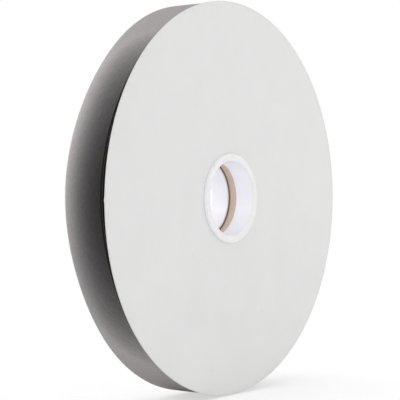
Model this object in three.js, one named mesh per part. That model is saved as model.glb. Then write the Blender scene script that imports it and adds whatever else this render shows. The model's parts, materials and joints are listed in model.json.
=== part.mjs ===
// Hook and loop tape roll: one long self-engaging tape wound on a paper core
// between two die-cut card flanges, which two moulded bushes hold to the core.
// Millimetres, +Z up. The roll's axis is Y, the front flange faces -Y, and the
// origin is the centre of the bore, halfway between the flanges.

import * as THREE from 'three';

// Tape
const TAPE_WIDTH = 25;
const TAPE_THICKNESS = 1.0;
const PILE_GAP = 0.44; // space between turns, filled by engaged hooks and loops
const SELVEDGE_DEPTH = 0.3; // how far the tape's edges are rounded down
const SELVEDGE_WIDTH = 0.5;

// Outer winding, counted inwards from the tape's free end
const LOOSE_TURNS = 2; // turns that wind as a strip over the plain pack
const TAIL_STEPS = 7; // length of the free end, in facets of the winding
const TIP_ANGLE = -10; // where the free end lies, degrees up from +X
const BUTT_GAP = 0.3; // gap between the tail, the strip and the pack's step

// Core
const CORE_WALL = 4.5;
const CORE_EDGE_BREAK = 0.4;
const CORE_CLEARANCE = 0.3; // core to the first turn

// Flanges
const FLANGE_DIAMETER = 225;
const FLANGE_CARD = 0.8;
const FLANGE_MARGIN = 0.5; // flange rim beyond the tape's free end
const FLANGE_SPLAY = 1.2; // how far the front rim stands out from the clamped hub
const REAR_RIM_DROP = 5.5; // how far the rear rim lies within the front one
const FLANGE_EDGE_BREAK = 0.1; // edge crushed by the die
const FLANGE_CLEARANCE = 0.3; // tape edge to flange
const FLANGE_HOLE_CLEARANCE = 0.3; // bush sleeve to flange

// Bushes
const BORE_DIAMETER = 42.6;
const SLEEVE_WALL = 0.9;
const SLEEVE_TAPER = 0.15; // loss of radius from lip to tip
const SLEEVE_LEAD_IN = 0.5;
const SLEEVES_APART = 5.8; // stretch of bare core between the two sleeves
const LIP_WIDTH = 3.6; // how far the lip reaches past the sleeve
const LIP_HEIGHT = 1.2;
const LIP_EDGE_RADIUS = 0.7;
const MOUTH_RADIUS = 1.1; // round from the lip's face into the bore
const LIP_SEAT_GAP = 0.3;
const RIB_COUNT = 8; // crush ribs that grip the core
const RIB_HEIGHT = 0.2;
const RIB_CLEARANCE = 0.1;

// Facets
const WINDING_FACETS = 96; // per turn, shared by the flange rims
const HUB_FACETS = 72;
const ROUND_STEPS = 4; // steps in each small moulded radius

const TAU = 2 * Math.PI;
const pitch = TAPE_THICKNESS + PILE_GAP;
const boreRadius = BORE_DIAMETER / 2;
const sleeveRadius = boreRadius + SLEEVE_WALL;
const coreBoreRadius = sleeveRadius + RIB_HEIGHT + RIB_CLEARANCE;
const coreRadius = coreBoreRadius + CORE_WALL;
const packInnerRadius = coreRadius + CORE_CLEARANCE;
const flangeRadius = FLANGE_DIAMETER / 2;
const rearFlangeRadius = flangeRadius - REAR_RIM_DROP;
const tipRadius = flangeRadius - FLANGE_MARGIN; // the roll is wound full
const flangeInnerFace = TAPE_WIDTH / 2 + FLANGE_CLEARANCE;
const flangeOuterFace = flangeInnerFace + FLANGE_CARD;
const flangeHoleRadius = sleeveRadius + FLANGE_HOLE_CLEARANCE;
const lipRadius = sleeveRadius + LIP_WIDTH;
const tailTurns = TAIL_STEPS / WINDING_FACETS;
const packStepTurns = tailTurns + LOOSE_TURNS;
const buttTurns = BUTT_GAP / (TAU * tipRadius);

function material(color, roughness) {
  return new THREE.MeshStandardMaterial({ color, roughness, metalness: 0 });
}

const tapeFabric = material(0x2b292c, 0.9);
const kraftPaper = material(0xc3ab98, 0.85);
const whiteCard = material(0xe3e3e1, 0.7);
const whitePlastic = material(0xecebef, 0.35);

function part(name, geometry, finish) {
  const mesh = new THREE.Mesh(geometry, finish.clone());
  mesh.name = name;
  return mesh;
}

// The tape's spiral. Turns are counted from its free end inwards, and the
// angle grows with them, so the roll shrinks over its top towards the left.
function windingAngle(turns) {
  return THREE.MathUtils.degToRad(TIP_ANGLE) + TAU * turns;
}

function windingRadius(turns) {
  return tipRadius - pitch * turns;
}

// A point on a turn, a given way down from the tape's outer face.
function windingPoint(turns, down) {
  const angle = windingAngle(turns);
  const radius = windingRadius(turns) - down;
  return new THREE.Vector3(radius * Math.cos(angle), 0, radius * Math.sin(angle));
}

// Turn counts of a stretch's stations, on the facets that every turn shares.
function windingStations(fromTurns, toTurns) {
  const first = Math.floor(fromTurns * WINDING_FACETS) + 1;
  const last = Math.ceil(toTurns * WINDING_FACETS) - 1;
  const stations = [fromTurns];
  for (let step = first; step <= last; step += 1) {
    stations.push(step / WINDING_FACETS);
  }
  stations.push(toTurns);
  return stations;
}

// The tape's section: along the roll's axis, and down from its outer face.
function tapeSection() {
  const edge = TAPE_WIDTH / 2;
  const flat = edge - SELVEDGE_WIDTH;
  const low = TAPE_THICKNESS;
  return [
    [-flat, 0], [flat, 0],
    [edge, SELVEDGE_DEPTH], [edge, low - SELVEDGE_DEPTH],
    [flat, low], [-flat, low],
    [-edge, low - SELVEDGE_DEPTH], [-edge, SELVEDGE_DEPTH],
  ];
}

// One unbroken stretch of tape, wound from one turn count to another.
function woundTape(fromTurns, toTurns) {
  const section = tapeSection();
  const stations = windingStations(fromTurns, toTurns);
  const sides = section.length;
  const points = [];
  for (const turns of stations) {
    for (const [across, down] of section) {
      const spot = windingPoint(turns, down);
      points.push(spot.x, across, spot.z);
    }
  }
  const faces = [];
  for (let ring = 0; ring + 1 < stations.length; ring += 1) {
    for (let side = 0; side < sides; side += 1) {
      const here = ring * sides + side;
      const beside = ring * sides + (side + 1) % sides;
      faces.push(here, beside, here + sides);
      faces.push(beside, beside + sides, here + sides);
    }
  }
  const lastRing = (stations.length - 1) * sides;
  for (let side = 1; side + 1 < sides; side += 1) {
    faces.push(0, side + 1, side);
    faces.push(lastRing, lastRing + side, lastRing + side + 1);
  }
  const geometry = new THREE.BufferGeometry();
  geometry.setAttribute('position', new THREE.Float32BufferAttribute(points, 3));
  geometry.setIndex(faces);
  geometry.computeVertexNormals();
  return geometry;
}

// Least gap from the corners and facet middles of each turn's inner face to
// the facets of the turn below it.
function leastTurnGap(fromTurns, toTurns) {
  const facet = 1 / WINDING_FACETS;
  const nearest = new THREE.Vector3();
  let least = Infinity;
  for (let turns = fromTurns + facet; turns + 1 + facet < toTurns; turns += facet) {
    const corner = windingPoint(turns, TAPE_THICKNESS);
    const next = windingPoint(turns + facet, TAPE_THICKNESS);
    const middle = corner.clone().lerp(next, 0.5);
    for (const below of [turns + 1 - facet, turns + 1]) {
      const face = new THREE.Line3(windingPoint(below, 0), windingPoint(below + facet, 0));
      for (const spot of [corner, middle]) {
        face.closestPointToPoint(spot, true, nearest);
        least = Math.min(least, nearest.distanceTo(spot));
      }
    }
  }
  return least;
}

// The pack under the loose turns: its outline is the next turn of the spiral,
// with the step that the strip's inner end butts against.
function packGeometry() {
  const outline = new THREE.Shape();
  const from = packStepTurns + buttTurns;
  windingStations(from, packStepTurns + 1).forEach((turns, index) => {
    const spot = windingPoint(turns, 0);
    if (index === 0) {
      outline.moveTo(spot.x, spot.z);
    } else {
      outline.lineTo(spot.x, spot.z);
    }
  });
  outline.closePath();
  const hole = new THREE.Path();
  hole.absarc(0, 0, packInnerRadius, 0, TAU, true);
  outline.holes.push(hole);
  const geometry = new THREE.ExtrudeGeometry(outline, {
    depth: TAPE_WIDTH,
    bevelEnabled: false,
    curveSegments: HUB_FACETS,
  });
  geometry.translate(0, 0, -TAPE_WIDTH / 2);
  geometry.rotateX(Math.PI / 2);
  return geometry;
}

// A ring about the roll's axis. Facets are turned by half a step, so that a
// flat one lies at the very bottom.
function ring(profile, facets) {
  const points = profile.map(([radius, along]) => new THREE.Vector2(radius, along));
  points.push(points[0].clone());
  return new THREE.LatheGeometry(points, facets, Math.PI / facets, TAU);
}

function coreGeometry() {
  const end = TAPE_WIDTH / 2;
  const shoulder = end - CORE_EDGE_BREAK;
  const outer = coreRadius;
  const inner = coreBoreRadius;
  return ring([
    [inner, -shoulder], [inner + CORE_EDGE_BREAK, -end],
    [outer - CORE_EDGE_BREAK, -end], [outer, -shoulder],
    [outer, shoulder], [outer - CORE_EDGE_BREAK, end],
    [inner + CORE_EDGE_BREAK, end], [inner, shoulder],
  ], HUB_FACETS);
}

// A card disc facing +Y: flat where the bush's lip clamps it, then splayed out
// a little, as the wound tape pushes it. Both discs splay at the same slope.
function flangeGeometry(rim) {
  const low = flangeInnerFace;
  const high = flangeOuterFace;
  const splay = FLANGE_SPLAY * (rim - lipRadius) / (flangeRadius - lipRadius);
  const rimLow = low + splay;
  const rimHigh = high + splay;
  return ring([
    [flangeHoleRadius, low],
    [lipRadius, low],
    [rim - FLANGE_EDGE_BREAK, rimLow],
    [rim, rimLow + FLANGE_EDGE_BREAK],
    [rim, rimHigh - FLANGE_EDGE_BREAK],
    [rim - FLANGE_EDGE_BREAK, rimHigh],
    [lipRadius, high],
    [flangeHoleRadius, high],
  ], WINDING_FACETS);
}

// Points of a quarter round from one angle to the other, in degrees.
function quarterRound(centreRadius, centreAlong, size, fromAngle, toAngle) {
  const arc = [];
  for (let step = 0; step <= ROUND_STEPS; step += 1) {
    const degrees = fromAngle + (toAngle - fromAngle) * step / ROUND_STEPS;
    const angle = THREE.MathUtils.degToRad(degrees);
    arc.push([centreRadius + size * Math.cos(angle), centreAlong + size * Math.sin(angle)]);
  }
  return arc;
}

// A bush facing +Y: a low round-edged lip on the flange, a mouth that rolls
// into the bore, and a thin tapered sleeve with crush ribs inside the core.
function bushGeometry() {
  const tip = SLEEVES_APART / 2;
  const seat = flangeOuterFace + LIP_SEAT_GAP;
  const face = seat + LIP_HEIGHT;
  const tipRadiusOutside = sleeveRadius - SLEEVE_TAPER;
  const mouthCentre = boreRadius + MOUTH_RADIUS;
  const profile = [
    [boreRadius, tip],
    [tipRadiusOutside - SLEEVE_LEAD_IN, tip],
    [tipRadiusOutside, tip + SLEEVE_LEAD_IN],
    [sleeveRadius, flangeInnerFace],
    [sleeveRadius, seat],
    [lipRadius, seat],
    ...quarterRound(lipRadius - LIP_EDGE_RADIUS, face - LIP_EDGE_RADIUS, LIP_EDGE_RADIUS, 0, 90),
    ...quarterRound(mouthCentre, face - MOUTH_RADIUS, MOUTH_RADIUS, 90, 180),
  ];
  const geometry = ring(profile, HUB_FACETS);
  raiseRibs(geometry, tip, flangeInnerFace);
  geometry.computeVertexNormals();
  return geometry;
}

// Pulls every few corners of the sleeve's outside out into axial ribs. Each
// rib dies away at the sleeve's tip, so that the bush can be started by hand.
function raiseRibs(geometry, tip, top) {
  const corners = geometry.attributes.position;
  const spacing = HUB_FACETS / RIB_COUNT;
  const outside = sleeveRadius - SLEEVE_TAPER;
  const tolerance = SLEEVE_LEAD_IN / 10;
  for (let index = 0; index < corners.count; index += 1) {
    const spot = new THREE.Vector3().fromBufferAttribute(corners, index);
    const radius = Math.hypot(spot.x, spot.z);
    const column = Math.round(Math.atan2(spot.x, spot.z) / TAU * HUB_FACETS - 0.5);
    const onRib = ((column % spacing) + spacing) % spacing === 0;
    const onSleeve = radius > outside - tolerance && spot.y > tip + tolerance && spot.y < top + tolerance;
    if (onRib && onSleeve) {
      const raised = (sleeveRadius + RIB_HEIGHT) / radius;
      corners.setXYZ(index, spot.x * raised, spot.y, spot.z * raised);
    }
  }
}

// The same piece facing the front: half a turn about the vertical.
function facingFront(mesh) {
  mesh.rotation.z = Math.PI;
  return mesh;
}

const roll = new THREE.Group();
roll.name = 'hook_and_loop_tape_roll';
roll.add(
  part('core_tube', coreGeometry(), kraftPaper),
  part('tape_pack', packGeometry(), tapeFabric),
  part('tape_outer_turns', woundTape(tailTurns + buttTurns, packStepTurns - buttTurns), tapeFabric),
  part('tape_tail', woundTape(0, tailTurns), tapeFabric),
  facingFront(part('front_flange', flangeGeometry(flangeRadius), whiteCard)),
  part('rear_flange', flangeGeometry(rearFlangeRadius), whiteCard),
  facingFront(part('front_bush', bushGeometry(), whitePlastic)),
  part('rear_bush', bushGeometry(), whitePlastic),
);

const tapeLength = Math.PI * (tipRadius ** 2 - packInnerRadius ** 2) / pitch;
const tapeTurns = (tipRadius - packInnerRadius) / pitch;
console.log(`tape length ${(tapeLength / 1000).toFixed(1)} m in ${tapeTurns.toFixed(1)} turns`);
console.log(`least gap between turns ${leastTurnGap(0, packStepTurns).toFixed(3)} mm`);

export default roll;
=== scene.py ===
"""Dresses the hook and loop tape roll: wound tape, card flanges, moulded bushes and paper core."""
import json
import math

import bpy
import numpy as np
from mathutils import Matrix, Vector


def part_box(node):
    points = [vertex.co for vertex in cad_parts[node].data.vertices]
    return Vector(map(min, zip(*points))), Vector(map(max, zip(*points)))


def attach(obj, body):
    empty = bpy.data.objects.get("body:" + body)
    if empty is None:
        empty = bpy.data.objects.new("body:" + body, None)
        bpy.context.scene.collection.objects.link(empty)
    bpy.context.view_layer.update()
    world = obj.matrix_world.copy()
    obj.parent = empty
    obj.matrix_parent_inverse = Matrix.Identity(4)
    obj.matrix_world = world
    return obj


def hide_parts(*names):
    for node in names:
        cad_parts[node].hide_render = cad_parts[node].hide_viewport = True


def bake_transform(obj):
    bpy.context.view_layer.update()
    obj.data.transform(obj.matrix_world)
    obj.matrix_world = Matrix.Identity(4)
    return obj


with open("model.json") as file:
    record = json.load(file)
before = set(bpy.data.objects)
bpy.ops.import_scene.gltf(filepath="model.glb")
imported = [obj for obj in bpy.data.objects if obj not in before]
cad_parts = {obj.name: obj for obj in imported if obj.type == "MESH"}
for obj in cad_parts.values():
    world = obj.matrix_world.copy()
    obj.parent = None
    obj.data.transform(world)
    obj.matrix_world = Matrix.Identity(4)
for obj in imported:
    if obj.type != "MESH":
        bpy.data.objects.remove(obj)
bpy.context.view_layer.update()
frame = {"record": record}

MM = 0.001
SEED = 7

# Sizes read from the frame, in metres.
FLANGE_LOW, FLANGE_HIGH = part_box("front_flange")
_, REAR_FLANGE_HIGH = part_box("rear_flange")
BUSH_LOW, BUSH_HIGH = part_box("front_bush")
_, CORE_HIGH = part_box("core_tube")
PACK_LOW, PACK_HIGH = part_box("tape_pack")
BORE_MOUNT = next(m for m in frame["record"]["mounts"] if m["name"] == "spindle_bore")
PEEL_PLACE = Vector(frame["record"]["behaviour"]["joints"][0]["pos_m"])
FLANGE_RADIUS = FLANGE_HIGH.x
REAR_FLANGE_RADIUS = REAR_FLANGE_HIGH.x
FLANGE_RIM_Y = -FLANGE_LOW.y
FLANGE_HUB_Y = -FLANGE_HIGH.y
LIP_FACE_Y = -BUSH_LOW.y
SLEEVE_END_Y = -BUSH_HIGH.y
LIP_RADIUS = BUSH_HIGH.x
BORE_RADIUS = BORE_MOUNT["dims"]["r_mm"] * MM
CORE_RADIUS = CORE_HIGH.x
CORE_HALF_LENGTH = CORE_HIGH.y
TAPE_WIDTH = PACK_HIGH.y - PACK_LOW.y

# Steps of the small rounds on the outlines, and the corners of a square.
ROUND_STEPS = 3
SQUARE_CORNERS = ((-1, -1), (1, -1), (1, 1), (-1, 1))

# Tape, the same spiral as the solids: the turns are counted inwards from the free end.
TIP_ANGLE = math.radians(-10)
PITCH = 1.44 * MM
TAPE_THICKNESS = 1.0 * MM
TAIL_TURNS = 7 / 96
TIP_RADIUS = PEEL_PLACE.length + PITCH * TAIL_TURNS
TURN_LENGTH = 2 * math.pi * TIP_RADIUS
OUTER_TURNS = 2.0
CORE_GAP = 0.3 * MM
ALL_TURNS = (TIP_RADIUS - TAPE_THICKNESS - CORE_RADIUS - CORE_GAP) / PITCH - 1
CROWN = 0.10 * MM
SELVEDGE_WIDTH = 0.5 * MM
SELVEDGE_DROP = 0.10 * MM
SELVEDGE_RADIUS = 0.3 * MM
SELVEDGE_STEP = 0.12 * MM
SELVEDGE_STEP_DROP = 0.06 * MM

# Mesh of the tape: steps in a turn, how many turns have the fine ones, and rows across it.
FINE_STEP = 0.55 * MM
FINE_STEPS = TURN_LENGTH / FINE_STEP
COARSE_STEPS = 96
FINE_TURNS = 1.12
PILE_ROWS = 48
PLAIN_ROWS = 8
BACK_ROWS = 10

# Unevenness of the pile: its height, the shares of clumps and tufts in it, the most that it may be of its
# height, and what is left of it where the steps are coarse.
PILE_HEIGHT = 0.012 * MM
CLUMP_SHARE = 0.45
TUFT_SHARE = 0.4
PILE_LIMIT = 1.5
COARSE_PILE = 0.3

# Slack of the outer turns, in parts of a turn: where it ends and is taken up again, and what is left of
# it a turn further in.
SLACK_END = 0.74
SLACK_CLOSED = 0.90
SLACK_LEFT = 0.4

# Where the two outermost turns stray along the axis: at and spread, in degrees up from +X and on along
# the winding, and how far. The second turn starts at 350 degrees.
WANDER = ((137, 19, -1.3 * MM), (178, 18, 1.1 * MM), (214, 22, -1.0 * MM), (510, 35, -1.3 * MM))

# Painted sheen and painted light: a grey painted over the black pile, more and more at low angles of view,
# and more towards the rear edge, where it stands in for the light that falls there.
PAINTED_SHEEN_POWER = 3.0
PAINTED_SHEEN_COVER = 1.3
PAINTED_LIGHT_MOST = 0.32
REAR_EDGE_PAINTED_LIGHT = 0.18
REAR_EDGE_LIGHT_FADE = 10.0 * MM
REAR_EDGE_LIGHT_POWER = 1.5

# Woven back of the tape: this scale makes its threads 0.6 mm apart.
THREAD_SCALE = 0.52

# Hooks under the free end, each a square wire that gets thinner. The curl ends at an angle in degrees.
HOOK_SPACING = 1.5 * MM
HOOK_HEIGHT = 0.36 * MM
HOOK_WIRE = 0.09 * MM
HOOK_TAPER = 0.35
HOOK_REACH = 0.24 * MM
HOOK_ROOT = 0.03 * MM
HOOK_MID_STEM = 0.6
HOOK_CURL_END = 20
HOOK_CURL_STEPS = 5
HOOK_MARGIN = 1.6 * MM

# Flanges. The round of their edges turns through an angle in degrees.
FLANGE_CARD = 0.8 * MM
FLANGE_SPLAY = FLANGE_RIM_Y - FLANGE_HUB_Y - FLANGE_CARD
FLANGE_HOLE_RADIUS = 22.5 * MM
FLANGE_SEGMENTS = 360
FLANGE_RINGS = 26
FLANGE_EDGE_ROUND = 0.14 * MM
FLANGE_EDGE_TURN = 75
BARE_EDGE = 0.6 * FLANGE_EDGE_ROUND
RUBBED_RIM = 1.5 * MM
FLANGE_WARP = 0.07 * MM
WARP_WAVES = (2, 3, 5)
SPLAY_CURVE = 1.15

# Where the front card's rim is bent: at and spread in degrees, and how far out.
FRONT_BENDS = ((165, 25, 0.25 * MM), (224, 25, -0.5 * MM))

# A burr and a nick that the die left on the rims: at and spread in degrees, and how far out.
RIM_MARKS = ((180, 0.25, 0.45 * MM), (278, 0.5, -0.3 * MM))
RIM_MARK_DEPTH = 0.3 * MM

# Bushes. The rolled mouth starts at an angle in degrees, and the sleeve has its rows at these shares.
SLEEVE_WALL = 0.9 * MM
SLEEVE_TAPER = 0.15 * MM
SLEEVE_SHARES = (0.25, 0.5, 0.75, 0.93)
SLEEVE_BORE_ROWS = 12
LEAD_IN_SHOULDER = 0.2 * MM
LEAD_IN_DEPTH = 0.3 * MM
LEAD_IN_ROUND = 0.08 * MM
LIP_HEIGHT = 1.2 * MM
LIP_EDGE_RADIUS = 0.7 * MM
LIP_STEPS = 8
MOUTH_RADIUS = 1.1 * MM
MOUTH_START = 170
LIP_FOOT_RADIUS = 0.08 * MM
LIP_FILLET = 0.1 * MM
LIP_SEAT_GAP = LIP_FACE_Y - LIP_HEIGHT - FLANGE_HUB_Y - FLANGE_CARD
RIB_COUNT = 8
RIB_HEIGHT = 0.2 * MM
RIB_HALF_WIDTH = math.radians(1.6)
RIB_START = 1 * MM
RIB_SLACK = 0.05 * MM
BUSH_SEGMENTS = 240

# Core tube, wound from strips of paper.
CORE_BORE_RADIUS = 22.5 * MM
CORE_EDGE_BREAK = 0.4 * MM
PAPER_STRIPS = 2
PAPER_STRIP_LEAD = 62 * MM
PAPER_SEAM_START = 0.22
PAPER_SEAM_DEPTH = 0.09 * MM
PAPER_SEAM_WIDTH = 0.7 * MM
CUT_END_SHADE = 0.5
# Painted shade beside each sleeve's end: how far the darkening of the paper reaches.
CORNER_PAINTED_SHADE = 0.5 * MM
CORE_SEGMENTS = 240
CORE_ROWS = 120
CORE_END_RINGS = 6

# Camera, from the photograph's outlines. The image is 400 pixels square, and the angles are in degrees.
IMAGE_PIXELS = 400
FOCAL_PIXELS = 1371.9
SENSOR_MM = 36
CAMERA_AZIMUTH = -55.09
CAMERA_ELEVATION = 0.55
CAMERA_DISTANCE = 7.0 * FLANGE_RADIUS
CAMERA_YAW = 1.344
CAMERA_PITCH = -0.070

# Broad lamps that aim at the roll's middle: place, width and height in metres, and watts.
LAMPS = {
    "front_key": ((0.62, -0.64, 0.25), 0.7, 0.7, 1.85),
    "overhead": ((-0.3, 0.1, 1.5), 1.8, 1.8, 9.8),
    "back_left": ((-0.8, 1.25, 0.35), 1.0, 1.0, 3.7),
    "high_left": ((-1.15, 0.65, 0.85), 0.8, 0.8, 4.1),
    "camera_fill": ((-1.75, -0.65, 0.25), 1.0, 0.6, 4.0),
}

# Two arcs of small lamps that face the roll's axis: a rim light just behind the tape's rear edge, at the
# left of the roll, and a shorter one further out and higher up. The angles are in degrees.
ARC_WIDTH = 11 * MM
ARC_STEP = 9
RIM_LIGHT = {"out": 8 * MM, "back": 5 * MM, "level": 1.9, "centre": 172, "spread": 31, "count": 15}
SHOULDER_LIGHT = {"out": 16 * MM, "back": -3 * MM, "level": 1.5, "centre": 156, "spread": 13, "count": 7}

# Level of the white world where it lights the roll.
WORLD_LIGHT = 0.62

# Floor, in metres: how far it reaches and its gap below the roll. As the camera sees it, it fades to
# white between two distances from the roll's middle, from a share that is white already.
FLOOR_REACH = 3.0
FLOOR_GAP = 0.6 * MM
FLOOR_FADE_START = 0.115
FLOOR_FADE_END = 0.17
FLOOR_LEAST_WHITE = 0.6


# Mesh helpers


def make_object(name, points, faces):
    """A mesh object with its faces turned outwards. Faces with four corners are smooth, others flat."""
    mesh = bpy.data.meshes.new(name)
    mesh.from_pydata(np.asarray(points).tolist(), [], faces)
    mesh.update()
    if signed_volume(mesh) < 0:
        mesh.flip_normals()
    mesh.polygons.foreach_set("use_smooth", [len(face) == 4 for face in faces])
    piece = bpy.data.objects.new(name, mesh)
    bpy.context.collection.objects.link(piece)
    return piece


def signed_volume(mesh):
    """Volume inside a closed mesh, negative where its faces look inwards."""
    mesh.calc_loop_triangles()
    places = np.empty(len(mesh.vertices) * 3)
    mesh.vertices.foreach_get("co", places)
    places = places.reshape(-1, 3)
    corners = np.empty(len(mesh.loop_triangles) * 3, np.int32)
    mesh.loop_triangles.foreach_get("vertices", corners)
    a, b, c = (places[corners.reshape(-1, 3)[:, k]] for k in range(3))
    return float((a * np.cross(b, c)).sum() / 6)


def grid_faces(columns, rows, wrap_columns, wrap_rows):
    """Quads over a grid of points, numbered column by column."""
    across = columns if wrap_columns else columns - 1
    up = rows if wrap_rows else rows - 1
    i, j = np.meshgrid(np.arange(across), np.arange(up), indexing="ij")
    i, j = i.ravel(), j.ravel()
    i_next, j_next = (i + 1) % columns, (j + 1) % rows
    corners = [i * rows + j, i_next * rows + j, i_next * rows + j_next, i * rows + j_next]
    return np.stack(corners, 1).tolist()


def arc(centre, radius, start, end, steps):
    """Points on a round in the plane of an outline, from one angle to another in degrees."""
    angles = np.radians(np.linspace(start, end, steps + 1))
    return [(centre[0] + radius * math.cos(a), centre[1] + radius * math.sin(a)) for a in angles]


def revolve(profile, segments):
    """Angles round the roll's axis, and the radius and depth of a closed profile at each of them."""
    profile = np.array(profile)
    angles = np.linspace(0, 2 * math.pi, segments, endpoint=False)
    radius = np.broadcast_to(profile[:, 0], (segments, len(profile))).copy()
    depth = np.broadcast_to(profile[:, 1], (segments, len(profile))).copy()
    return angles, radius, depth


def ring_points(angles, radius, depth):
    """Places of a revolved grid, where depth runs along the roll's axis."""
    x = radius * np.cos(angles)[:, None]
    z = radius * np.sin(angles)[:, None]
    return np.stack([x, depth, z], -1).reshape(-1, 3)


def ring_object(name, angles, radius, depth):
    """A closed ring from a revolved grid."""
    points = ring_points(angles, radius, depth)
    columns, rows = radius.shape
    return make_object(name, points, grid_faces(columns, rows, True, True))


def store_value(piece, name, values):
    """Keeps one number for each vertex, for a material to read."""
    attribute = piece.data.attributes.new(name, "FLOAT", "POINT")
    attribute.data.foreach_set("value", np.asarray(values, np.float32).ravel())


def smooth_noise(rng, shape, passes):
    """Seeded grid noise, softened over its neighbours, with a spread of one."""
    field = rng.normal(size=shape)
    for _ in range(passes):
        field = (field + np.roll(field, 1, 0) + np.roll(field, -1, 0)) / 3
        field = (field + np.roll(field, 1, 1) + np.roll(field, -1, 1)) / 3
    return field / field.std()


def bumps(angle, places):
    """Rounded bumps at the given angles in degrees, each as where, spread and height."""
    height = np.zeros(len(angle))
    for where, spread, amount in places:
        height += amount * np.exp(-((angle - where) / spread) ** 2)
    return height


# Material helpers


class Painter:
    """Adds nodes to one material, by short calls."""

    def __init__(self, name):
        self.material = bpy.data.materials.new(name)
        self.material.use_nodes = True
        self.tree = self.material.node_tree
        self.shader = self.tree.nodes["Principled BSDF"]

    def add(self, kind, settings=None, **inputs):
        """A new node, with its settings and with values or links for its inputs."""
        node = self.tree.nodes.new("ShaderNode" + kind)
        for key, value in (settings or {}).items():
            setattr(node, key, value)
        for key, value in inputs.items():
            self.plug(node.inputs[key.replace("_", " ")], value)
        return node

    def plug(self, socket, value):
        """Links another node's output to a socket, or sets the socket's own value."""
        if isinstance(value, bpy.types.NodeSocket):
            self.tree.links.new(value, socket)
        else:
            socket.default_value = value

    def noise(self, place, scale, detail=3.0, roughness=0.55):
        """Soft noise, finer where the scale is larger."""
        node = self.add("TexNoise", Vector=place, Scale=scale, Detail=detail, Roughness=roughness)
        return node.outputs["Fac"]

    def scaled(self, place, scale):
        """A place stretched by its own scale along each axis."""
        node = self.add("Mapping", Vector=place, Scale=scale)
        return node.outputs["Vector"]

    def ramp(self, value, low, high, start=0.0, end=1.0):
        """Goes evenly from start, where the value is low, to end, where it is high."""
        node = self.add("MapRange", Value=value)
        for socket, number in zip(node.inputs[1:5], (low, high, start, end)):
            socket.default_value = number
        return node.outputs["Result"]

    def math(self, operation, a, b):
        """One operation on two numbers or outputs."""
        node = self.add("Math", {"operation": operation})
        self.plug(node.inputs[0], a)
        self.plug(node.inputs[1], b)
        return node.outputs[0]

    def mix(self, amount, a, b):
        """Mixes two colours, whose sockets come after those for numbers and vectors."""
        node = self.add("Mix", {"data_type": "RGBA"})
        self.plug(node.inputs[0], amount)
        self.plug(node.inputs[6], a)
        self.plug(node.inputs[7], b)
        return node.outputs[2]

    def bump(self, height, strength, distance, under=None):
        """A normal with fine relief, over another normal where one is given."""
        node = self.add("Bump", Height=height, Strength=strength, Distance=distance)
        if under is not None:
            self.plug(node.inputs["Normal"], under)
        return node.outputs["Normal"]

    def value_of(self, name):
        """A number that store_value kept for each vertex."""
        return self.add("Attribute", {"attribute_name": name}).outputs["Fac"]

    def place(self):
        """Places on the object in millimetres."""
        coordinates = self.add("TexCoord").outputs["Object"]
        return self.scaled(coordinates, (1 / MM, 1 / MM, 1 / MM))

    def weave_place(self):
        """Millimetres along the tape and across it."""
        return self.add("UVMap", {"uv_map": "Weave"}).outputs["UV"]

    def set(self, **inputs):
        """Sets or links the shader's inputs, and gives the finished material."""
        for key, value in inputs.items():
            self.plug(self.shader.inputs[key.replace("_", " ")], value)
        return self.material


def grey(level, warmth=0.0):
    """A neutral grey, or a slightly warmer one."""
    return (level * (1 + warmth), level, level * (1 - warmth), 1)


# Materials


def loop_pile_material():
    """Black knitted loops: soft clumps, fine rows along the tape, stray fibres, and grey painted sheen and
    painted light.
    """
    p = Painter("loop_pile")
    deep_black = (0.0030, 0.0028, 0.0034, 1)
    soft_black = (0.0064, 0.0060, 0.0069, 1)
    lint_grey = grey(0.05, 0.03)
    # Grey of the painted sheen and painted light over the black.
    painted_sheen_grey = (0.95, 0.897, 0.893, 1)
    at = p.weave_place()
    clumps = p.noise(at, 0.55, 4)
    rows = p.noise(p.scaled(at, (0.18, 2.6, 1)), 1.0, 3)
    fibres = p.noise(p.scaled(at, (1.2, 5.0, 1)), 1.0, 2)
    loops = p.add("TexVoronoi", Vector=at, Scale=1.6).outputs["Distance"]
    shade = p.ramp(p.math("ADD", clumps, rows), 0.7, 1.3)
    colour = p.mix(shade, deep_black, soft_black)
    lint = p.ramp(fibres, 0.68, 0.78)
    colour = p.mix(p.math("MULTIPLY", lint, 0.2), colour, lint_grey)
    # Painted sheen and painted light: grey mixed over the black by the angle of view and towards the rear
    # edge.
    colour = p.mix(painted_sheen_and_light(p, shade), colour, painted_sheen_grey)
    height = p.math("ADD", p.math("MULTIPLY", loops, 0.6), p.math("MULTIPLY", fibres, 0.6))
    normal = p.bump(height, 0.4, 0.12 * MM)
    rough = p.ramp(clumps, 0.3, 0.7, 0.40, 0.52)
    return p.set(
        Base_Color=colour, Roughness=rough, Normal=normal, Specular_IOR_Level=0.05,
        Sheen_Weight=0.02, Sheen_Roughness=0.3, Sheen_Tint=grey(0.92, 0.03),
    )


def painted_sheen_and_light(p, shade):
    """How much grey is painted over the black: painted sheen at low angles of view, painted light towards
    the rear edge.
    """
    slope = p.add("LayerWeight", Blend=0.5).outputs["Facing"]
    painted_sheen = p.math("MULTIPLY", p.math("POWER", slope, PAINTED_SHEEN_POWER), PAINTED_SHEEN_COVER)
    # Painted light towards the rear edge, fading with the distance from it.
    from_rear = p.ramp(p.value_of("across"), -1, 1, TAPE_WIDTH / REAR_EDGE_LIGHT_FADE, 0)
    fading = p.math("MULTIPLY", p.math("POWER", from_rear, REAR_EDGE_LIGHT_POWER), -1)
    rear_edge_light = p.math("MULTIPLY", p.math("POWER", math.e, fading), REAR_EDGE_PAINTED_LIGHT)
    cover = p.math("MINIMUM", p.math("ADD", painted_sheen, rear_edge_light), PAINTED_LIGHT_MOST)
    return p.math("MULTIPLY", cover, p.ramp(shade, 0.0, 1.0, 0.9, 1.1))


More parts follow.
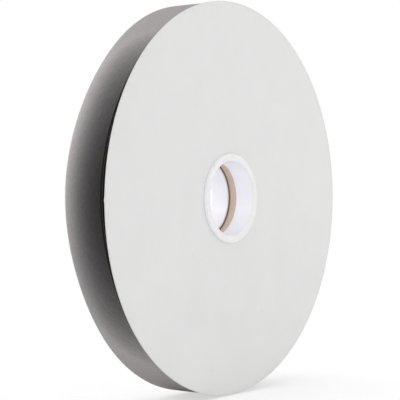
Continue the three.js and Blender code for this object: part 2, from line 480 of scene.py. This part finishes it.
def woven_back_material():
    """Black woven ground on the hook side: crossing threads, rubbed to a shine in patches."""
    p = Painter("woven_back")
    at = p.weave_place()
    warp = p.add("TexWave", {"bands_direction": "Y"}, Vector=at, Scale=THREAD_SCALE).outputs["Fac"]
    weft = p.add("TexWave", {"bands_direction": "X"}, Vector=at, Scale=THREAD_SCALE).outputs["Fac"]
    threads = p.math("MULTIPLY", warp, weft)
    patches = p.noise(at, 0.3, 4)
    colour = p.mix(p.math("MULTIPLY", threads, patches), grey(0.008), grey(0.035))
    rough = p.ramp(patches, 0.3, 0.7, 0.42, 0.6)
    normal = p.bump(threads, 0.5, 0.08 * MM)
    return p.set(Base_Color=colour, Roughness=rough, Normal=normal, Specular_IOR_Level=0.3)


def hook_material():
    """Black nylon of the hooks."""
    p = Painter("hook_nylon")
    at = p.place()
    patches = p.noise(at, 0.8, 4)
    colour = p.mix(patches, grey(0.012), grey(0.03))
    rough = p.ramp(patches, 0.3, 0.7, 0.32, 0.5)
    normal = p.bump(p.noise(at, 9, 2), 0.2, 0.03 * MM)
    return p.set(Base_Color=colour, Roughness=rough, Normal=normal)


def card_material():
    """Coated solid board: faint mottle and fibres, grey specks, a bare fibrous cut edge, rubbed rims."""
    p = Painter("coated_card")
    white = (0.745, 0.748, 0.742, 1)
    light_white = (0.775, 0.775, 0.772, 1)
    grain_grey = (0.62, 0.62, 0.61, 1)
    speck_grey = (0.42, 0.41, 0.40, 1)
    bare_grey = (0.50, 0.49, 0.465, 1)
    light_bare_grey = (0.66, 0.65, 0.63, 1)
    scuff_grey = (0.60, 0.59, 0.57, 1)
    at = p.place()
    mottle = p.noise(at, 0.035, 5, 0.6)
    grain = p.noise(p.scaled(at, (0.5, 1, 1.6)), 0.9, 4)
    colour = p.mix(p.ramp(mottle, 0.35, 0.65), white, light_white)
    colour = p.mix(p.math("MULTIPLY", grain, 0.10), colour, grain_grey)
    speck_cells = p.add("TexVoronoi", Vector=at, Scale=0.055)
    speck = p.ramp(speck_cells.outputs["Distance"], 0.020, 0.034, 0.35, 0.0)
    colour = p.mix(speck, colour, speck_grey)
    edge = p.value_of("edge")
    strands = p.noise(p.scaled(at, (1, 7, 1)), 1.3, 4)
    colour = p.mix(edge, colour, p.mix(strands, bare_grey, light_bare_grey))
    rubbed = p.ramp(p.noise(at, 0.5, 5, 0.7), 0.48, 0.62)
    scuff = p.math("MULTIPLY", p.value_of("rim"), rubbed)
    colour = p.mix(p.math("MULTIPLY", scuff, 0.35), colour, scuff_grey)
    rough = p.ramp(mottle, 0.3, 0.7, 0.42, 0.56)
    normal = p.bump(grain, 0.12, 0.05 * MM)
    normal = p.bump(strands, p.math("MULTIPLY", edge, 0.6), 0.08 * MM, normal)
    return p.set(Base_Color=colour, Roughness=rough, Normal=normal, Specular_IOR_Level=0.4)


def plastic_material():
    """White moulded plastic whose sleeve is painted whiter and cooler as painted light: flow marks, fine
    orange peel and a rubbed mouth.
    """
    p = Painter("moulded_plastic")
    lip_white = (0.84, 0.83, 0.83, 1)
    light_lip_white = (0.87, 0.86, 0.86, 1)
    # Painted light: the sleeve is painted whiter and cooler than the lip, for the light inside the bore.
    painted_lit_sleeve_white = (0.90, 0.895, 0.955, 1)
    painted_lit_sleeve_light_white = (0.92, 0.915, 0.97, 1)
    worn_grey = (0.70, 0.69, 0.68, 1)
    at = p.place()
    flow = p.noise(p.scaled(at, (0.05, 0.3, 0.05)), 1.0, 4, 0.6)
    marks = p.ramp(flow, 0.35, 0.65)
    lip = p.mix(marks, lip_white, light_lip_white)
    sleeve = p.mix(marks, painted_lit_sleeve_white, painted_lit_sleeve_light_white)
    # The lip keeps its own white; the sleeve gets the painted light.
    colour = p.mix(p.value_of("lip"), sleeve, lip)
    rubbed = p.ramp(p.noise(at, 0.7, 5, 0.7), 0.45, 0.65)
    worn = p.math("MULTIPLY", p.value_of("edge"), rubbed)
    colour = p.mix(p.math("MULTIPLY", worn, 0.35), colour, worn_grey)
    rough = p.math("ADD", p.ramp(flow, 0.3, 0.7, 0.26, 0.38), p.math("MULTIPLY", worn, 0.2))
    normal = p.bump(p.noise(at, 1.6, 3), 0.10, 0.04 * MM)
    return p.set(Base_Color=colour, Roughness=rough, Normal=normal)


def kraft_material():
    """Brown recycled paper: long fibres, dark flecks, darker seams and cut ends, painted shade in the
    corners.
    """
    p = Painter("kraft_paper")
    brown = (0.555, 0.428, 0.342, 1)
    light_brown = (0.80, 0.645, 0.535, 1)
    cloud_brown = (0.60, 0.47, 0.38, 1)
    fleck_brown = (0.36, 0.25, 0.18, 1)
    seam_brown = (0.30, 0.20, 0.15, 1)
    painted_shade_brown = (0.16, 0.10, 0.07, 1)
    at = p.place()
    fibres = p.noise(p.scaled(at, (0.7, 3.2, 0.7)), 1.0, 5, 0.65)
    cloud = p.noise(at, 0.35, 3)
    colour = p.mix(p.ramp(fibres, 0.3, 0.7), brown, light_brown)
    colour = p.mix(p.ramp(cloud, 0.4, 0.65, 0.0, 0.45), colour, cloud_brown)
    fleck = p.ramp(p.noise(p.scaled(at, (1, 4, 1)), 2.2, 2), 0.66, 0.74, 0, 0.5)
    colour = p.mix(fleck, colour, fleck_brown)
    colour = p.mix(p.math("MULTIPLY", p.value_of("seam"), 0.6), colour, seam_brown)
    # Painted shade in the corners beside the sleeves' ends.
    colour = p.mix(p.math("MULTIPLY", p.value_of("corner"), 0.85), colour, painted_shade_brown)
    rough = p.ramp(fibres, 0.3, 0.7, 0.78, 0.95)
    normal = p.bump(fibres, 0.5, 0.06 * MM)
    return p.set(Base_Color=colour, Roughness=rough, Normal=normal, Specular_IOR_Level=0.2)


# Tape


def tape_section(pile_rows):
    """The tape's outline as (distance across, height above the outer face), front edge first."""
    half = TAPE_WIDTH / 2
    inner = half - SELVEDGE_WIDTH
    across = np.linspace(-inner, inner, pile_rows)
    crowned = CROWN * (1 - (across / inner) ** 2)
    face = list(zip(across, crowned))
    r = SELVEDGE_RADIUS
    rear = [(inner + SELVEDGE_STEP, -SELVEDGE_STEP_DROP)]
    rear += arc((half - r, -SELVEDGE_DROP - r), r, 90, 0, ROUND_STEPS)
    rear += arc((half - r, -TAPE_THICKNESS + r), r, 0, -90, ROUND_STEPS)
    back = np.linspace(half - r, -half + r, BACK_ROWS)[1:-1]
    under = [(a, -TAPE_THICKNESS) for a in back]
    front = [(-a, h) for a, h in reversed(rear)]
    return np.array(face + rear + under + front), len(face)


def tape_columns(start, end, steps):
    """Turn counts along the tape, so many steps to a turn."""
    return np.linspace(start, end, max(2, round((end - start) * steps) + 1))


def tape_points(turns, section, lift):
    """Places of a tape's section at each turn count, with lift added to the outer face."""
    angle = TIP_ANGLE + 2 * math.pi * turns
    outer = TIP_RADIUS - CROWN - PITCH * turns + tape_slack(turns)
    radius = outer[:, None] + section[None, :, 1] + lift
    depth = section[None, :, 0] + tape_wander(turns)[:, None]
    return ring_points(angle, radius, depth)


def tape_slack(turns):
    """How far the outer turns stand off the tight spiral: they stay round, then dip below the free end."""
    part = (turns - TAIL_TURNS) % 1
    depth = np.floor(turns - TAIL_TURNS).clip(0)
    dip = np.clip((part - SLACK_END) / (SLACK_CLOSED - SLACK_END), 0, 1)
    open_part = np.minimum(part, SLACK_END) * (1 - dip * dip * (3 - 2 * dip))
    return np.where(turns > TAIL_TURNS, PITCH * open_part * SLACK_LEFT ** depth, 0)


def tape_wander(turns):
    """How far the outermost turns stray along the axis, as they were wound by hand."""
    return bumps(np.degrees(TIP_ANGLE) + 360 * turns, WANDER)


def tape_piece(name, turns, section, lift):
    """A closed strip of tape along the spiral, capped at both ends."""
    columns, rows = len(turns), len(section)
    strip = tape_points(turns, section, lift)
    points = np.concatenate([strip, strip[:rows], strip[-rows:]])
    faces = grid_faces(columns, rows, False, True)
    first_cap = range(columns * rows, (columns + 1) * rows)
    last_cap = range((columns + 1) * rows, (columns + 2) * rows)
    faces.append(list(reversed(first_cap)))
    faces.append(list(last_cap))
    piece = make_object(name, points, faces)
    piece.data.polygons.foreach_set("material_index", back_faces(section, columns))
    weave_map(piece, np.concatenate([turns, turns[:1], turns[-1:]]), section)
    store_value(piece, "across", np.tile(section[:, 0] * 2 / TAPE_WIDTH, columns + 2))
    return piece


def back_faces(section, columns):
    """One for each face on the tape's woven back and its two cut ends, and nought for the pile."""
    nearly_flat = SELVEDGE_RADIUS / 10
    flat = section[:, 1] < -TAPE_THICKNESS + nearly_flat
    strip = np.tile(flat & np.roll(flat, -1), columns - 1)
    return np.concatenate([strip, [True, True]]).astype(np.int32)


def weave_map(piece, turns, section):
    """A UV map in millimetres: along the tape, and round its section."""
    rows = len(section)
    along = TURN_LENGTH * turns / MM
    around = np.concatenate([section, section[:1]])
    steps = np.linalg.norm(np.diff(around, axis=0), axis=1)
    across = (np.concatenate([[0], np.cumsum(steps)]) - TAPE_WIDTH / 2) / MM
    corners = np.empty(len(piece.data.loops), np.int32)
    piece.data.loops.foreach_get("vertex_index", corners)
    column, row = corners // rows, corners % rows
    # The quads come before the two caps. Those that close the section end at its full length.
    quads = row[:-2 * rows].reshape(-1, 4)
    closing = (quads == 0).any(1) & (quads == rows - 1).any(1)
    quads[closing[:, None] & (quads == 0)] = rows
    layer = piece.data.uv_layers.new(name="Weave")
    places = np.stack([along[column], across[row]], 1)
    layer.uv.foreach_set("vector", places.astype(np.float32).ravel())


def pile_lift(rng, columns, rows, face_rows):
    """Uneven loops on the outer face: soft clumps with finer tufts between them."""
    lift = np.zeros((columns, rows))
    clumps = smooth_noise(rng, (columns, face_rows), passes=3)
    tufts = smooth_noise(rng, (columns, face_rows), passes=1)
    uneven = (CLUMP_SHARE * clumps + TUFT_SHARE * tufts).clip(-PILE_LIMIT, PILE_LIMIT)
    lift[:, :face_rows] = PILE_HEIGHT * uneven
    return lift


def make_tape(pile, back, nylon):
    """The free end with its hooks, the outer turns and the inner turns of one tape."""
    rng = np.random.default_rng(SEED)
    section, face_rows = tape_section(PILE_ROWS)
    tail = tape_columns(0, TAIL_TURNS, FINE_STEPS)
    outer = tape_columns(TAIL_TURNS, FINE_TURNS, FINE_STEPS)[1:]
    rest = tape_columns(FINE_TURNS, OUTER_TURNS, COARSE_STEPS)[1:]
    turns = np.concatenate([tail, outer, rest])
    lift = pile_lift(rng, len(turns), len(section), face_rows)
    lift[len(tail) + len(outer):] *= COARSE_PILE
    cut = len(tail)

    free_end = tape_piece("tape_free_end", turns[:cut], section, lift[:cut])
    hooks = make_hooks()
    wound = tape_piece("tape_outer_winding", turns[cut - 1:], section, lift[cut - 1:])
    plain, _ = tape_section(PLAIN_ROWS)
    inner_turns = tape_columns(OUTER_TURNS, ALL_TURNS, COARSE_STEPS)
    inner = tape_piece("tape_inner_winding", inner_turns, plain, 0)

    for piece in (free_end, wound, inner):
        piece.data.materials.append(pile)
        piece.data.materials.append(back)
    hooks.data.materials.append(nylon)
    for piece in (free_end, hooks):
        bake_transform(piece)
    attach(wound, "roll")
    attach(inner, "roll")
    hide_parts("tape_tail")
    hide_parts("tape_outer_turns")
    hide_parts("tape_pack")


def spiral_place(turns, height=0.0):
    """A place in the tape's middle, so high above its outer face."""
    angle = TIP_ANGLE + 2 * math.pi * turns
    radius = TIP_RADIUS - PITCH * turns + height
    return Vector((radius * math.cos(angle), 0, radius * math.sin(angle)))


def hook_path():
    """One hook in its own plane: a stem that curls over, as (along, down from the tape's back)."""
    bow = HOOK_REACH / 2
    stem = HOOK_HEIGHT - bow
    curl = arc((bow, stem), bow, 180, HOOK_CURL_END, HOOK_CURL_STEPS)
    return [(0, -HOOK_ROOT), (0, stem * HOOK_MID_STEM)] + curl


def make_hooks():
    """Lanes of small bent wires on the back of the free end, every other lane turned round."""
    path = hook_path()
    points, faces = [], []
    rows = int((TAIL_TURNS * TURN_LENGTH - 2 * HOOK_MARGIN) / HOOK_SPACING)
    lanes = int((TAPE_WIDTH - 2 * HOOK_MARGIN) / HOOK_SPACING)
    for row in range(rows):
        for lane in range(lanes):
            odd = lane % 2
            along = HOOK_MARGIN + (row + odd / 2) * HOOK_SPACING
            across = (lane - (lanes - 1) / 2) * HOOK_SPACING
            add_hook(points, faces, path, along, across, 1 if odd else -1)
    return make_object("tape_hooks", points, faces)


def add_hook(points, faces, path, along, across, way):
    """Adds one hook, which curls towards the root of the free end or, the other way, towards its tip."""
    base = len(points)
    sides = len(SQUARE_CORNERS)
    for step, (reach, drop) in enumerate(path):
        half_wire = HOOK_WIRE / 2 * (1 - HOOK_TAPER * step / (len(path) - 1))
        for side, fore in SQUARE_CORNERS:
            turns = (along + way * reach + fore * half_wire) / TURN_LENGTH
            place = spiral_place(turns, -CROWN - TAPE_THICKNESS - drop)
            points.append((place.x, across + side * half_wire, place.z))
    for step in range(len(path) - 1):
        low = base + step * sides
        for k in range(sides):
            a, b = low + k, low + (k + 1) % sides
            faces.append([a, b, b + sides, a + sides])
    top = base + (len(path) - 1) * sides
    faces.append(list(range(base + sides - 1, base - 1, -1)))
    faces.append(list(range(top, top + sides)))


# Flanges


def flange_profile(outer):
    """Closed outline of the card, as radius and distance from the inner face."""
    card, hole = FLANGE_CARD, FLANGE_HOLE_RADIUS
    r, turn = FLANGE_EDGE_ROUND, FLANGE_EDGE_TURN
    spread = np.linspace(hole + r, outer - r, FLANGE_RINGS)
    front = [(a, card) for a in spread]
    rim = arc((outer - r, card - r), r, turn, 0, ROUND_STEPS)
    rim += arc((outer - r, r), r, 0, -turn, ROUND_STEPS)
    back = [(a, 0) for a in spread[::-1]]
    inside = arc((hole + r, r), r, turn - 180, -180, ROUND_STEPS)
    inside += arc((hole + r, card - r), r, 180, 180 - turn, ROUND_STEPS)
    return front + rim + back + inside


def make_flange(name, node, side, outer, bends, seed, material):
    """A die-cut card disc, splayed and very slightly waved, with a small burr and nick on its rim."""
    angles, radius, depth = revolve(flange_profile(outer), FLANGE_SEGMENTS)
    rng = np.random.default_rng(seed)
    share = (radius / FLANGE_RADIUS) ** 2
    for waves in WARP_WAVES:
        phase = rng.uniform(0, 2 * math.pi)
        depth += FLANGE_WARP / waves * share * np.cos(waves * angles + phase)[:, None]
    bent = np.clip((radius - LIP_RADIUS) / (FLANGE_RADIUS - LIP_RADIUS), 0, 1)
    depth += FLANGE_SPLAY * bent ** SPLAY_CURVE
    depth += share * bumps(np.degrees(angles), bends)[:, None]
    rim = np.clip((radius - (outer - RUBBED_RIM)) / RUBBED_RIM, 0, 1)
    cut = (radius > outer - BARE_EDGE) | (radius < FLANGE_HOLE_RADIUS + BARE_EDGE)
    at_rim = radius > outer - RIM_MARK_DEPTH
    radius += at_rim * bumps(np.degrees(angles), RIM_MARKS)[:, None]
    piece = ring_object(name, angles, radius, side * (FLANGE_HUB_Y + depth))
    store_value(piece, "edge", cut)
    store_value(piece, "rim", rim)
    piece.data.materials.append(material)
    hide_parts(node)
    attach(piece, "roll")


# Bushes


def bush_profile():
    """Closed outline of a bush, as radius and distance from the roll's middle."""
    seat = LIP_FACE_Y - LIP_HEIGHT
    under_lip = seat - LIP_SEAT_GAP
    outer = BORE_RADIUS + SLEEVE_WALL
    tip = outer - SLEEVE_TAPER
    mouth, edge, foot = MOUTH_RADIUS, LIP_EDGE_RADIUS, LIP_FOOT_RADIUS
    bore = np.linspace(SLEEVE_END_Y, LIP_FACE_Y - mouth, SLEEVE_BORE_ROWS)
    outline = [(BORE_RADIUS, y) for y in bore]
    outline += arc((BORE_RADIUS + mouth, LIP_FACE_Y - mouth), mouth, MOUTH_START, 90, LIP_STEPS)
    outline += arc((LIP_RADIUS - edge, LIP_FACE_Y - edge), edge, 90, 0, LIP_STEPS)
    outline += arc((LIP_RADIUS - foot, under_lip + foot), foot, 0, -90, ROUND_STEPS)
    outline += [(outer + LIP_FILLET, under_lip), (outer, under_lip - LIP_FILLET)]
    for share in SLEEVE_SHARES:
        outline.append((outer + (tip - outer) * share, seat + (SLEEVE_END_Y - seat) * share))
    outline.append((tip - LEAD_IN_SHOULDER, SLEEVE_END_Y + LEAD_IN_ROUND))
    outline.append((tip - LEAD_IN_DEPTH, SLEEVE_END_Y))
    return outline


def make_bush(name, node, side, material):
    """A moulded bush: rounded lip, rolled mouth, tapered sleeve and crush ribs."""
    angles, radius, depth = revolve(bush_profile(), BUSH_SEGMENTS)
    seat = LIP_FACE_Y - LIP_HEIGHT
    sleeve_tip = BORE_RADIUS + SLEEVE_WALL - SLEEVE_TAPER
    on_sleeve = (radius > sleeve_tip - RIB_SLACK) & (depth < seat - RIB_START)
    step = 2 * math.pi / RIB_COUNT
    apart = np.abs((angles + step / 2) % step - step / 2)
    # Each rib is flat over half its width, with sloping flanks.
    ribs = np.clip(2 - 2 * apart / RIB_HALF_WIDTH, 0, 1)
    radius += on_sleeve * (RIB_HEIGHT * ribs)[:, None]
    mouth = np.clip(1 - np.abs(depth - LIP_FACE_Y) / MOUTH_RADIUS, 0, 1)
    piece = ring_object(name, angles, radius, side * depth)
    store_value(piece, "edge", mouth)
    store_value(piece, "lip", np.clip((depth - seat) / LIP_HEIGHT, 0, 1))
    piece.data.materials.append(material)
    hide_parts(node)
    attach(piece, "roll")


# Core


def core_profile():
    """Closed outline of the tube, with its edges broken, as radius and distance from the roll's middle."""
    half, e = CORE_HALF_LENGTH, CORE_EDGE_BREAK
    along = np.linspace(-half + e, half - e, CORE_ROWS)
    ends = np.linspace(CORE_BORE_RADIUS + e, CORE_RADIUS - e, CORE_END_RINGS)
    inside = [(CORE_BORE_RADIUS, y) for y in along]
    rear = [(r, half) for r in ends]
    outside = [(CORE_RADIUS, y) for y in along[::-1]]
    front = [(r, -half) for r in ends[::-1]]
    return inside + rear + outside + front


def make_core(material):
    """A paper tube wound from strips, with shallow helical seams inside and out."""
    angles, radius, depth = revolve(core_profile(), CORE_SEGMENTS)
    strip = 1 / PAPER_STRIPS
    lead = (depth / PAPER_STRIP_LEAD + angles[:, None] / (2 * math.pi) + PAPER_SEAM_START) % strip
    apart = np.minimum(lead, strip - lead) * PAPER_STRIP_LEAD
    on_wall = np.abs(depth) < CORE_HALF_LENGTH - CORE_EDGE_BREAK / 2
    seam = on_wall * np.exp(-(apart / PAPER_SEAM_WIDTH) ** 2)
    into_wall = np.where(radius < (CORE_BORE_RADIUS + CORE_RADIUS) / 2, 1, -1)
    radius += into_wall * PAPER_SEAM_DEPTH * seam
    piece = ring_object("paper_core", angles, radius, depth)
    store_value(piece, "seam", np.where(on_wall, seam, CUT_END_SHADE))
    # Painted shade in the corners beside the sleeves' ends.
    store_value(piece, "corner", np.exp(-((np.abs(depth) - SLEEVE_END_Y) / CORNER_PAINTED_SHADE) ** 2))
    piece.data.materials.append(material)
    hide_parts("core_tube")
    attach(piece, "roll")


# Studio


def make_camera():
    """A camera at the photograph's angle, aimed a little beside the middle of the front flange."""
    azimuth, elevation = math.radians(CAMERA_AZIMUTH), math.radians(CAMERA_ELEVATION)
    level = math.cos(elevation)
    back = Vector((math.sin(azimuth) * level, -math.cos(azimuth) * level, math.sin(elevation)))
    face_centre = Vector((0, -FLANGE_RIM_Y, 0))
    right = (-back).cross(Vector((0, 0, 1))).normalized()
    up = right.cross(-back)
    aside = -right * math.tan(math.radians(CAMERA_YAW))
    upwards = up * math.tan(math.radians(CAMERA_PITCH))
    data = bpy.data.cameras.new("camera")
    data.sensor_width = SENSOR_MM
    data.lens = FOCAL_PIXELS / IMAGE_PIXELS * SENSOR_MM
    camera = bpy.data.objects.new("camera", data)
    camera.location = face_centre + back * CAMERA_DISTANCE
    camera.rotation_euler = (-back + aside + upwards).to_track_quat("-Z", "Y").to_euler()
    bpy.context.collection.objects.link(camera)
    bpy.context.scene.camera = camera


def area_light(name, place, width, height, watts):
    """A lamp that aims at the roll's middle and isn't seen itself."""
    data = bpy.data.lights.new(name, "AREA")
    data.shape = "RECTANGLE"
    data.size = width
    data.size_y = height
    data.energy = watts
    light = bpy.data.objects.new(name, data)
    light.location = place
    light.rotation_euler = (-Vector(place)).to_track_quat("-Z", "Y").to_euler()
    light.visible_camera = False
    bpy.context.collection.objects.link(light)
    return light


def arc_light(name, out, back, level, centre, spread, count):
    """A row of small lamps along an arc that faces the axis, brightest in its middle."""
    radius = TIP_RADIUS + out
    length = radius * math.radians(ARC_STEP)
    axis = Vector((0, 1, 0))
    for k in range(count):
        apart = (k - (count - 1) / 2) * ARC_STEP
        share = math.exp(-(apart / spread) ** 2)
        watts = level * share * math.pi * ARC_WIDTH * length
        angle = math.radians(centre + apart)
        outwards = Vector((math.cos(angle), 0, math.sin(angle)))
        along = axis.cross(outwards)
        place = outwards * radius + axis * (TAPE_WIDTH / 2 + back)
        light = area_light(f"{name}_{k}", place, length, ARC_WIDTH, watts)
        turn = Matrix((along, outwards.cross(along), outwards)).transposed()
        light.rotation_euler = turn.to_euler()


def make_lights():
    """The broad lamps and the two arcs."""
    for name, lamp in LAMPS.items():
        area_light(name, *lamp)
    arc_light("rim_light", **RIM_LIGHT)
    arc_light("shoulder_light", **SHOULDER_LIGHT)


def make_floor():
    """A pale floor that the roll stands on, white where the camera sees it away from the roll."""
    low = -FLANGE_RADIUS - FLOOR_GAP
    corners = [(x * FLOOR_REACH, y * FLOOR_REACH, low) for x, y in SQUARE_CORNERS]
    floor = make_object("floor", corners, [[0, 1, 2, 3]])
    p = Painter("floor_paper")
    at = p.add("TexCoord").outputs["Object"]
    tone = p.ramp(p.noise(at, 3.0), 0.3, 0.7)
    p.set(Base_Color=p.mix(tone, grey(0.93), grey(0.95)), Roughness=0.9, Specular_IOR_Level=0.1)
    seen = p.add("LightPath").outputs["Is Camera Ray"]
    away = p.add("VectorMath", {"operation": "LENGTH"}, Vector=at).outputs["Value"]
    fade = p.ramp(away, FLOOR_FADE_START, FLOOR_FADE_END, FLOOR_LEAST_WHITE, 1.0)
    white = p.add("Emission", Strength=1.0)
    both = p.add("MixShader", Fac=p.math("MULTIPLY", seen, fade))
    p.plug(both.inputs[1], p.shader.outputs[0])
    p.plug(both.inputs[2], white.outputs[0])
    p.plug(p.tree.nodes["Material Output"].inputs["Surface"], both.outputs[0])
    floor.data.materials.append(p.material)


def make_world():
    """White where it is seen, and a softer level where it lights the roll."""
    world = bpy.data.worlds.new("studio")
    bpy.context.scene.world = world
    world.use_nodes = True
    tree = world.node_tree
    background = tree.nodes["Background"]
    background.inputs["Color"].default_value = (1, 1, 1, 1)
    seen = tree.nodes.new("ShaderNodeLightPath").outputs["Is Camera Ray"]
    level = tree.nodes.new("ShaderNodeMapRange")
    tree.links.new(seen, level.inputs["Value"])
    level.inputs["To Min"].default_value = WORLD_LIGHT
    level.inputs["To Max"].default_value = 1.0
    tree.links.new(level.outputs["Result"], background.inputs["Strength"])


def main():
    """Sets up the studio and builds every piece of the roll."""
    bpy.context.scene.view_settings.view_transform = "Standard"
    make_camera()
    make_world()
    make_lights()
    make_floor()
    make_tape(loop_pile_material(), woven_back_material(), hook_material())
    card = card_material()
    make_flange("front_card_flange", "front_flange", -1, FLANGE_RADIUS, FRONT_BENDS, SEED + 1, card)
    make_flange("rear_card_flange", "rear_flange", 1, REAR_FLANGE_RADIUS, (), SEED + 2, card)
    plastic = plastic_material()
    make_bush("front_moulded_bush", "front_bush", -1, plastic)
    make_bush("rear_moulded_bush", "rear_bush", 1, plastic)
    make_core(kraft_material())


main()
